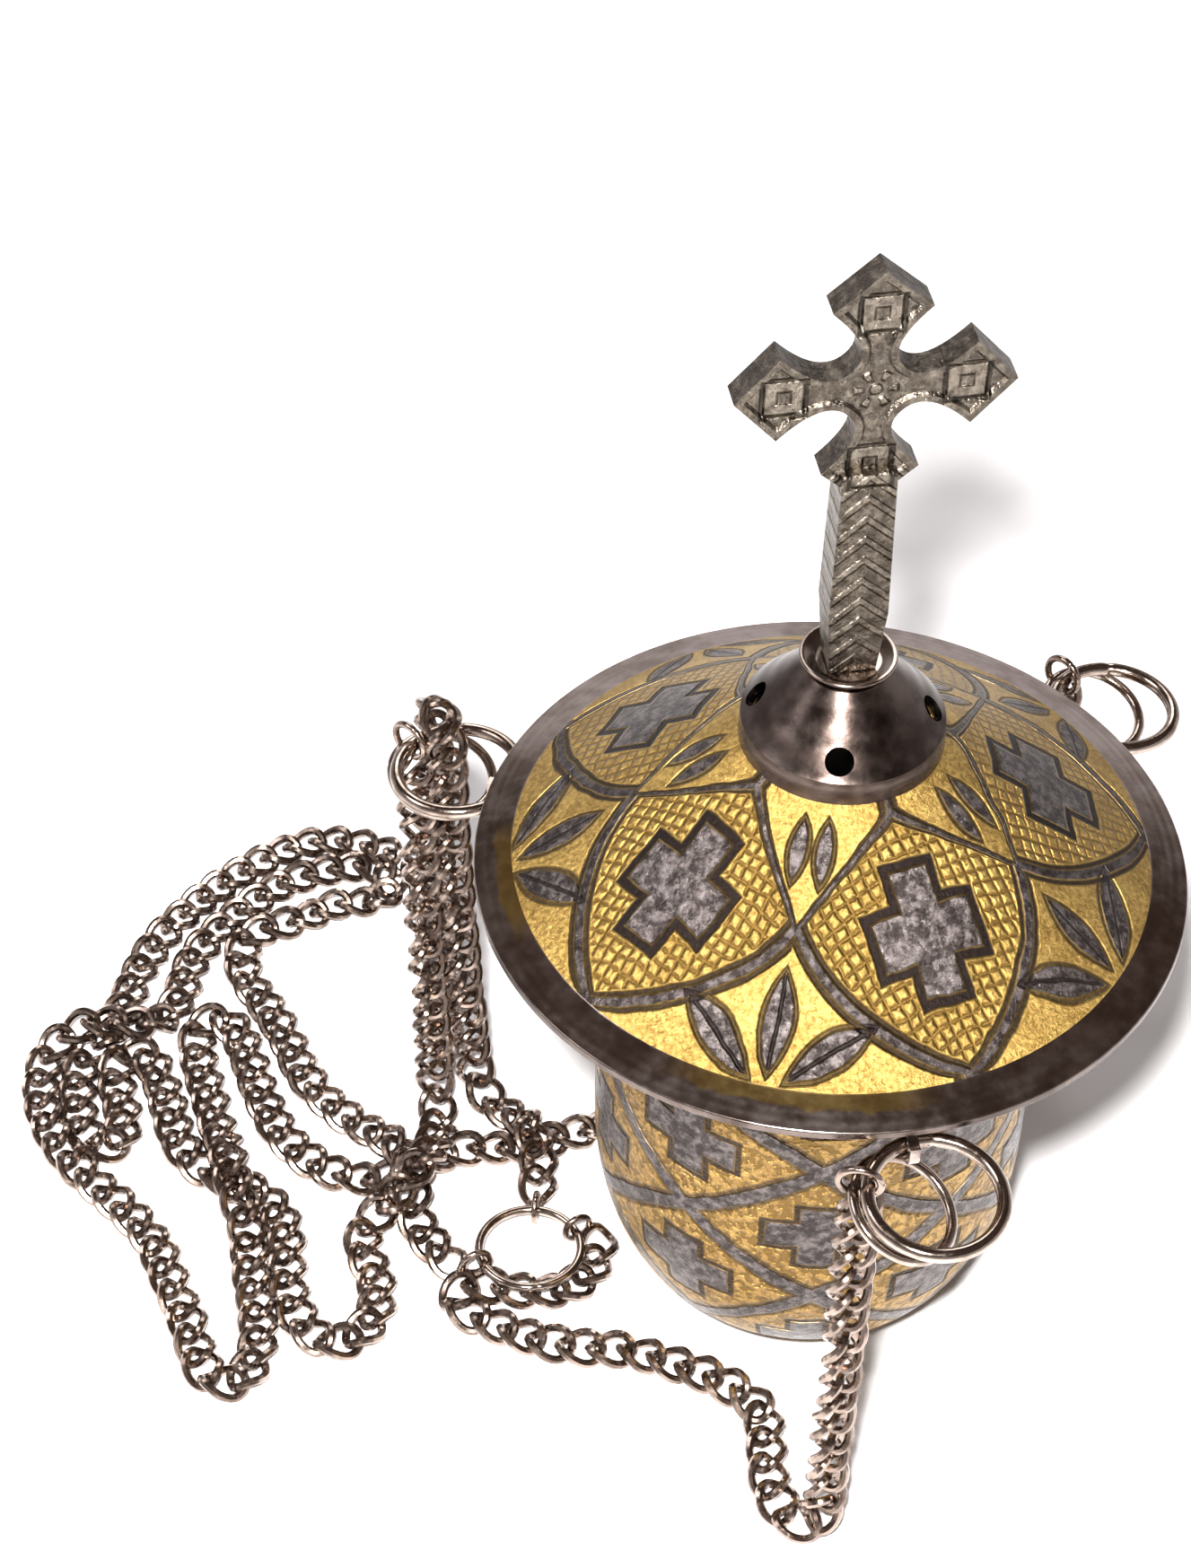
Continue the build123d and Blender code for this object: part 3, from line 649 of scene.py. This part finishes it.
for quarter in range(4):
    about = radians(-106 + 90 * quarter)
    reach_at = shoulder_r - vent_up * 0.9
    spot = Vector((reach_at * cos(about), reach_at * sin(about), skirt + vent_up))
    way = Matrix.Translation(spot) @ Matrix.Rotation(about, 4, "Z")
    way = way @ Matrix.Rotation(pi / 2 - slope, 4, "Y")
    bmesh.ops.create_cone(
        work, cap_ends=True, segments=40, radius1=vent_r, radius2=vent_r, depth=vent_depth, matrix=way
    )
work.to_mesh(vent_mesh)
work.free()
vent_cutter = bpy.data.objects.new("vent_cutter", vent_mesh)
bpy.context.collection.objects.link(vent_cutter)
drill = cone.modifiers.new("vents", "BOOLEAN")
drill.object = vent_cutter
drill.operation = "DIFFERENCE"
drill.solver = "EXACT"
bpy.context.view_layer.update()
drilled = bpy.data.meshes.new_from_object(cone.evaluated_get(bpy.context.evaluated_depsgraph_get()))
cone.modifiers.clear()
cone.data = drilled
drilled.shade_smooth()
drilled.set_sharp_from_angle(angle=radians(32))
soften(cone, 0.00018, 35)
bpy.data.objects.remove(vent_cutter)
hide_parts("smoke_cone")


# Collar and fastening
# A polished nickel collar with a dished top carries the stem. A stud through it, with a washer
# and a nut, holds the cross to the cone from inside.
bright_nickel = polished("bright_nickel", rgb(0.22, 0.17, 0.145), rgb(0.42, 0.35, 0.31), 0.14, 0.1)
collar_low, collar_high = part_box("stem_collar")
collar_r, dish_z = 0.0066, collar_high.z - 0.0010
collar = lathe(
    "collar",
    [
        (stud_r, collar_low.z), (0.00526, collar_low.z), (0.0058, collar_low.z + 0.00057),
        (collar_r, collar_low.z + 0.00143), (collar_r, collar_high.z), (0.0060, collar_high.z),
        (0.00448, dish_z), (stud_r, dish_z),
    ],
    bright_nickel, "lid", 128, 0.0002,
)
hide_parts("stem_collar")
steel = polished("steel", rgb(0.34, 0.33, 0.32), rgb(0.56, 0.55, 0.54), 0.3, 0.2)
for node in ("stud_washer", "stud_nut", "cross_stud", "charcoal_pan"):
    coat(node, steel)


# Cross
# Head and stem are one nickel-plated casting. The head has four flared, pointed arms with a
# raised border, a small square boss in each arm and a ring of dots in the middle; the stem
# tapers down to the collar and carries rows of chevrons.
cast = Paint("cast_nickel", rgb(0.42, 0.39, 0.33), 1.0, 0.3)
cross_low, cross_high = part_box("cross")
arm_tip, arm_corner = 0.0180, 0.0124  # from the middle of the head
centre_z = cross_high.z - arm_tip
cx, cz = cast.x * 1000, (cast.z - centre_z) * 1000
ax, az = abs(cx), abs(cz)
arm_u, arm_v = ax.most(az), ax.least(az)
boss = abs(arm_u - 11.6).most(arm_v)
boss_ring = boss.ramp(2.7, 2.3) * boss.ramp(0.7, 1.1)
boss_edge = boss.ramp(3.2, 2.9) * boss.ramp(2.4, 2.7)
radius = (cx * cx + cz * cz).math("SQRT")
petal = (az.math("ARCTAN2", ax) * 6).math("COSINE")
dots = (0.9 - abs(radius - 2.2)).ramp(0.0, 0.5) * petal.ramp(0.0, 0.7)
hub = radius.ramp(1.0, 0.6)
on_stem = cz.ramp(-12.0, -13.0)
chevron = ((cz + ax * 0.9) * (2 * pi / 3.4)).math("SINE").ramp(0.0, 0.8) * on_stem
figure = (boss_ring + dots + hub) * cz.ramp(-17.5, -16.5) + chevron * 0.45
dark = boss_edge * cz.ramp(-17.5, -16.5) + (1 - chevron) * on_stem * 0.18
lumps = cast.noise(0.0013, 4.0, 0.65)
pits = cast.noise(0.0005, 3.0)
tone = (lumps * 0.75 + figure * 0.09).ramp(0.28, 0.6)
cast.set("Base Color", (dark.least(1.0) * 0.8).mix(
    tone.mix(rgb(0.085, 0.070, 0.056), rgb(0.28, 0.245, 0.20)), rgb(0.03, 0.024, 0.018)))
cast.set("Roughness", lumps * 0.22 + 0.2)
cast.bump(figure * 0.55 + lumps * 0.5 + pits * 0.12 - dark * 0.3, 0.001)


def cross_outline():
    """The head's outline about its centre, (x, z) in metres, from the arms' corners and necks."""
    arm_half, neck, neck_at = 0.0063, 0.0025, 0.0072
    root = neck * 1.35
    outline = []
    for quarter in range(4):
        side = []
        for step in range(13):
            share = step / 12
            first = (root * (1 - share) + arm_half * share, root * (1 - share) + arm_corner * share)
            pinch = 4 * share * (1 - share)
            middle = ((root + arm_half) / 2, (root + arm_corner) / 2)
            side.append((first[0] - (middle[0] - neck) * pinch, first[1] - (middle[1] - neck_at) * pinch))
        arm = [*side, (0.0, arm_tip), *[(-x, z) for x, z in reversed(side)]]
        turn = pi / 2 * quarter
        outline.extend((x * cos(turn) - z * sin(turn), x * sin(turn) + z * cos(turn)) for x, z in arm)
    return outline


def cast_piece(name, build):
    work = bmesh.new()
    build(work)
    bmesh.ops.recalc_face_normals(work, faces=work.faces)
    mesh = bpy.data.meshes.new(name)
    work.to_mesh(mesh)
    work.free()
    mesh.materials.append(cast.material)
    made = bpy.data.objects.new(name, mesh)
    bpy.context.collection.objects.link(made)
    soften(made, 0.0004, 28, 3)
    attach(made, "lid")
    return made


def build_head(work):
    half = 0.0020
    outline = []
    for x, z in cross_outline():
        if not outline or hypot(x - outline[-1][0], z - outline[-1][1]) > 1e-5:
            outline.append((x, z))
    front = [work.verts.new((x, -half, z + centre_z)) for x, z in outline]
    back = [work.verts.new((x, half, z + centre_z)) for x, z in outline]
    faces = [work.faces.new(front), work.faces.new(back[::-1])]
    for here in range(len(outline)):
        after = (here + 1) % len(outline)
        work.faces.new((front[here], back[here], back[after], front[after]))
    bmesh.ops.recalc_face_normals(work, faces=work.faces)
    bmesh.ops.inset_region(work, faces=faces, thickness=0.0009, depth=0.0, use_even_offset=True)
    bmesh.ops.inset_region(work, faces=faces, thickness=0.0004, depth=-0.0005, use_even_offset=True)


def build_stem(work):
    foot = cross_low.z
    stem = centre_z - arm_corner - foot
    levels = [(0.0, 0.0064, 0.0054), (0.3, 0.0080, 0.0066), (1.0, 0.0072, 0.0059)]
    rows = []
    for share, wide, deep in levels:
        corners = [(-1, -1), (1, -1), (1, 1), (-1, 1)]
        rows.append([work.verts.new((a * wide / 2, b * deep / 2, foot + stem * share)) for a, b in corners])
    for low, high in zip(rows, rows[1:]):
        for side in range(4):
            work.faces.new((low[side], low[(side + 1) % 4], high[(side + 1) % 4], high[side]))
    work.faces.new(rows[0][::-1])
    work.faces.new(rows[-1])


head = cast_piece("cross_head", build_head)
stem = cast_piece("cross_stem", build_stem)
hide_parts("cross")
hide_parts("cross")


# Bowl
# A deep round-bottomed cup, chased like the lid: flat pewter bands cross in a net of lozenges
# with a cross in each, on gilt ground. A wide thin flange round its mouth carries the lid, and
# three lugs under the flange carry the rings.
bowl_low, bowl_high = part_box("bowl")
gilt_cup = Paint("gilt_bowl", rgb(0.6, 0.42, 0.14), 1.0, 0.3)
bx, by, bz = gilt_cup.x * 1000, gilt_cup.y * 1000, gilt_cup.z * 1000
around = folded(by.math("ARCTAN2", bx) * degrees(1), -101, 5)
sway = (gilt_cup.noise(0.012, 2.0) - 0.5) * 3.0
s = around / 36
t = (bz + sway - 39.5) / 14.5
total, apart = (s + t) / 2 + 10, (s - t) / 2 + 10
near_sum = abs(total.math("FRACT") - 0.5)
near_gap = abs(apart.math("FRACT") - 0.5)
lattice = near_sum.least(near_gap) * 23.0
net_band = lattice.ramp(1.35, 1.0)
net_line = lattice.ramp(1.0, 1.3) * lattice.ramp(2.1, 1.6)
# lozenge centres lie at even sums of s and t, so the column at the sides is half a cell up
side_cell = abs(s).ramp(0.499, 0.501)
cell_s = (abs(s) - side_cell) * 20.2
lift = (t - side_cell) / 2 + 10.5
cell_z = (lift.math("FRACT") - 0.5) * 29.0
boss_in = cross_depth(cell_z, cell_s, 6.6, 7.6, 2.7)
boss_mask = boss_in.ramp(-0.1, 0.25)
boss_line = boss_in.ramp(-1.1, -0.7) * boss_in.ramp(0.15, -0.15)
cup_pewter = net_band.most(boss_mask)
cup_outline = (net_line * 0.7).most(boss_line * 0.9)
dimples = gilt_cup.noise(0.0013, 2.0).ramp(0.42, 0.6)
cup_relief = net_band * 0.3 + boss_mask * 0.5 - cup_outline * 0.45
gilt_bowl = chased_gilt(
    rgb(0.26, 0.15, 0.045), rgb(0.52, 0.33, 0.10), cup_relief, cup_outline, cup_pewter,
    dimples, 1 - cup_pewter, gilt_cup,
)
wall, thick_base, cup_r, base_r = 0.0012, 0.0016, bowl_high.x, 0.0176
belly, base_z = 0.0320, bowl_low.z
outside = [
    (base_r + (cup_r - base_r) * sin(radians(step * 5)), belly - (belly - base_z) * cos(radians(step * 5)))
    for step in range(19)
]
inside_line = [
    (base_r + (cup_r - wall - base_r) * sin(radians(step * 5)),
     belly - (belly - base_z - thick_base) * cos(radians(step * 5)))
    for step in range(18, -1, -1)
]
bowl = lathe(
    "bowl_cup",
    [(0.0, base_z), *outside, (cup_r, 0.0700), (cup_r, bowl_high.z), (cup_r - wall, bowl_high.z),
     *inside_line, (0.0, base_z + thick_base)],
    gilt_bowl, "bowl", 256,
)
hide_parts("bowl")
foot_low, foot_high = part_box("bowl_foot")
foot = lathe(
    "foot_ring",
    [(0.0, foot_low.z), (foot_high.x - 0.0004, foot_low.z), (foot_high.x, foot_low.z + 0.0004),
     (foot_high.x, foot_high.z), (0.0, foot_high.z)],
    gilt_bowl, "bowl", 128, 0.0001,
)
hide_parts("bowl_foot")
flange_low, flange_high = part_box("bowl_flange")
# The flange takes the darker copy of the nickel: painted shade for the shadow under the lid's rim.
flange = lathe(
    "flange",
    [(cup_r, flange_low.z), (flange_high.x, flange_low.z), (flange_high.x, flange_high.z),
     (cup_r, flange_high.z)],
    shaded_edge_nickel, "bowl", 256, 0.0003,
)
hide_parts("bowl_flange")
for site in ("front", "right", "left"):
    coat(f"lug_{site}", rim_nickel)


# Table and light
# A plain white table, one soft key light close above the lens, a weak fill from the left, and
# dim warm surroundings, which the polished nickel mirrors as brown.
table = Paint("table_white", rgb(0.93, 0.93, 0.94), 0.0, 0.6)
table.set("Base Color", table.noise(0.3, 2.0).mix(rgb(0.92, 0.915, 0.92), rgb(0.95, 0.95, 0.955)))
floor_mesh = bpy.data.meshes.new("table")
floor_mesh.from_pydata([(-2, -2, 0), (2, -2, 0), (2, 2, 0), (-2, 2, 0)], [], [(0, 1, 2, 3)])
floor_mesh.materials.append(table.material)
floor = bpy.data.objects.new("table", floor_mesh)
bpy.context.collection.objects.link(floor)


def area_light(name, place, target, power, size, colour):
    lamp = bpy.data.lights.new(name, "AREA")
    lamp.shape = "DISK"
    lamp.size = size
    lamp.energy = power
    lamp.color = colour
    holder = bpy.data.objects.new(name, lamp)
    holder.location = place
    holder.rotation_euler = (Vector(target) - Vector(place)).to_track_quat("-Z", "Y").to_euler()
    bpy.context.collection.objects.link(holder)


area_light("key", (-0.125, -0.325, 0.500), (0, 0, 0.05), 10.0, 0.045, (1.0, 0.985, 0.97))
area_light("fill", (-0.75, 0.1, 0.8), (0, 0, 0.06), 3.0, 0.5, (0.98, 0.96, 1.0))
area_light("back", (0.1, 1.1, 0.9), (0, 0.55, 0), 4.5, 0.7, (1.0, 0.99, 0.98))
world = bpy.data.worlds.new("surroundings")
world.use_nodes = True
sky = world.node_tree.nodes["Background"]
generated = world.node_tree.nodes.new("ShaderNodeTexCoord").outputs["Generated"]
direction = Tex(world.node_tree, generated)
height = direction.node("ShaderNodeSeparateXYZ", None, 2, i0=direction)
horizon, overhead = rgb(0.66, 0.63, 0.64), rgb(0.085, 0.06, 0.05)
direction.put(sky.inputs["Color"], height.ramp(0.22, 0.5).mix(horizon, overhead))
bpy.context.scene.world = world
bpy.context.scene.view_settings.view_transform = "Standard"
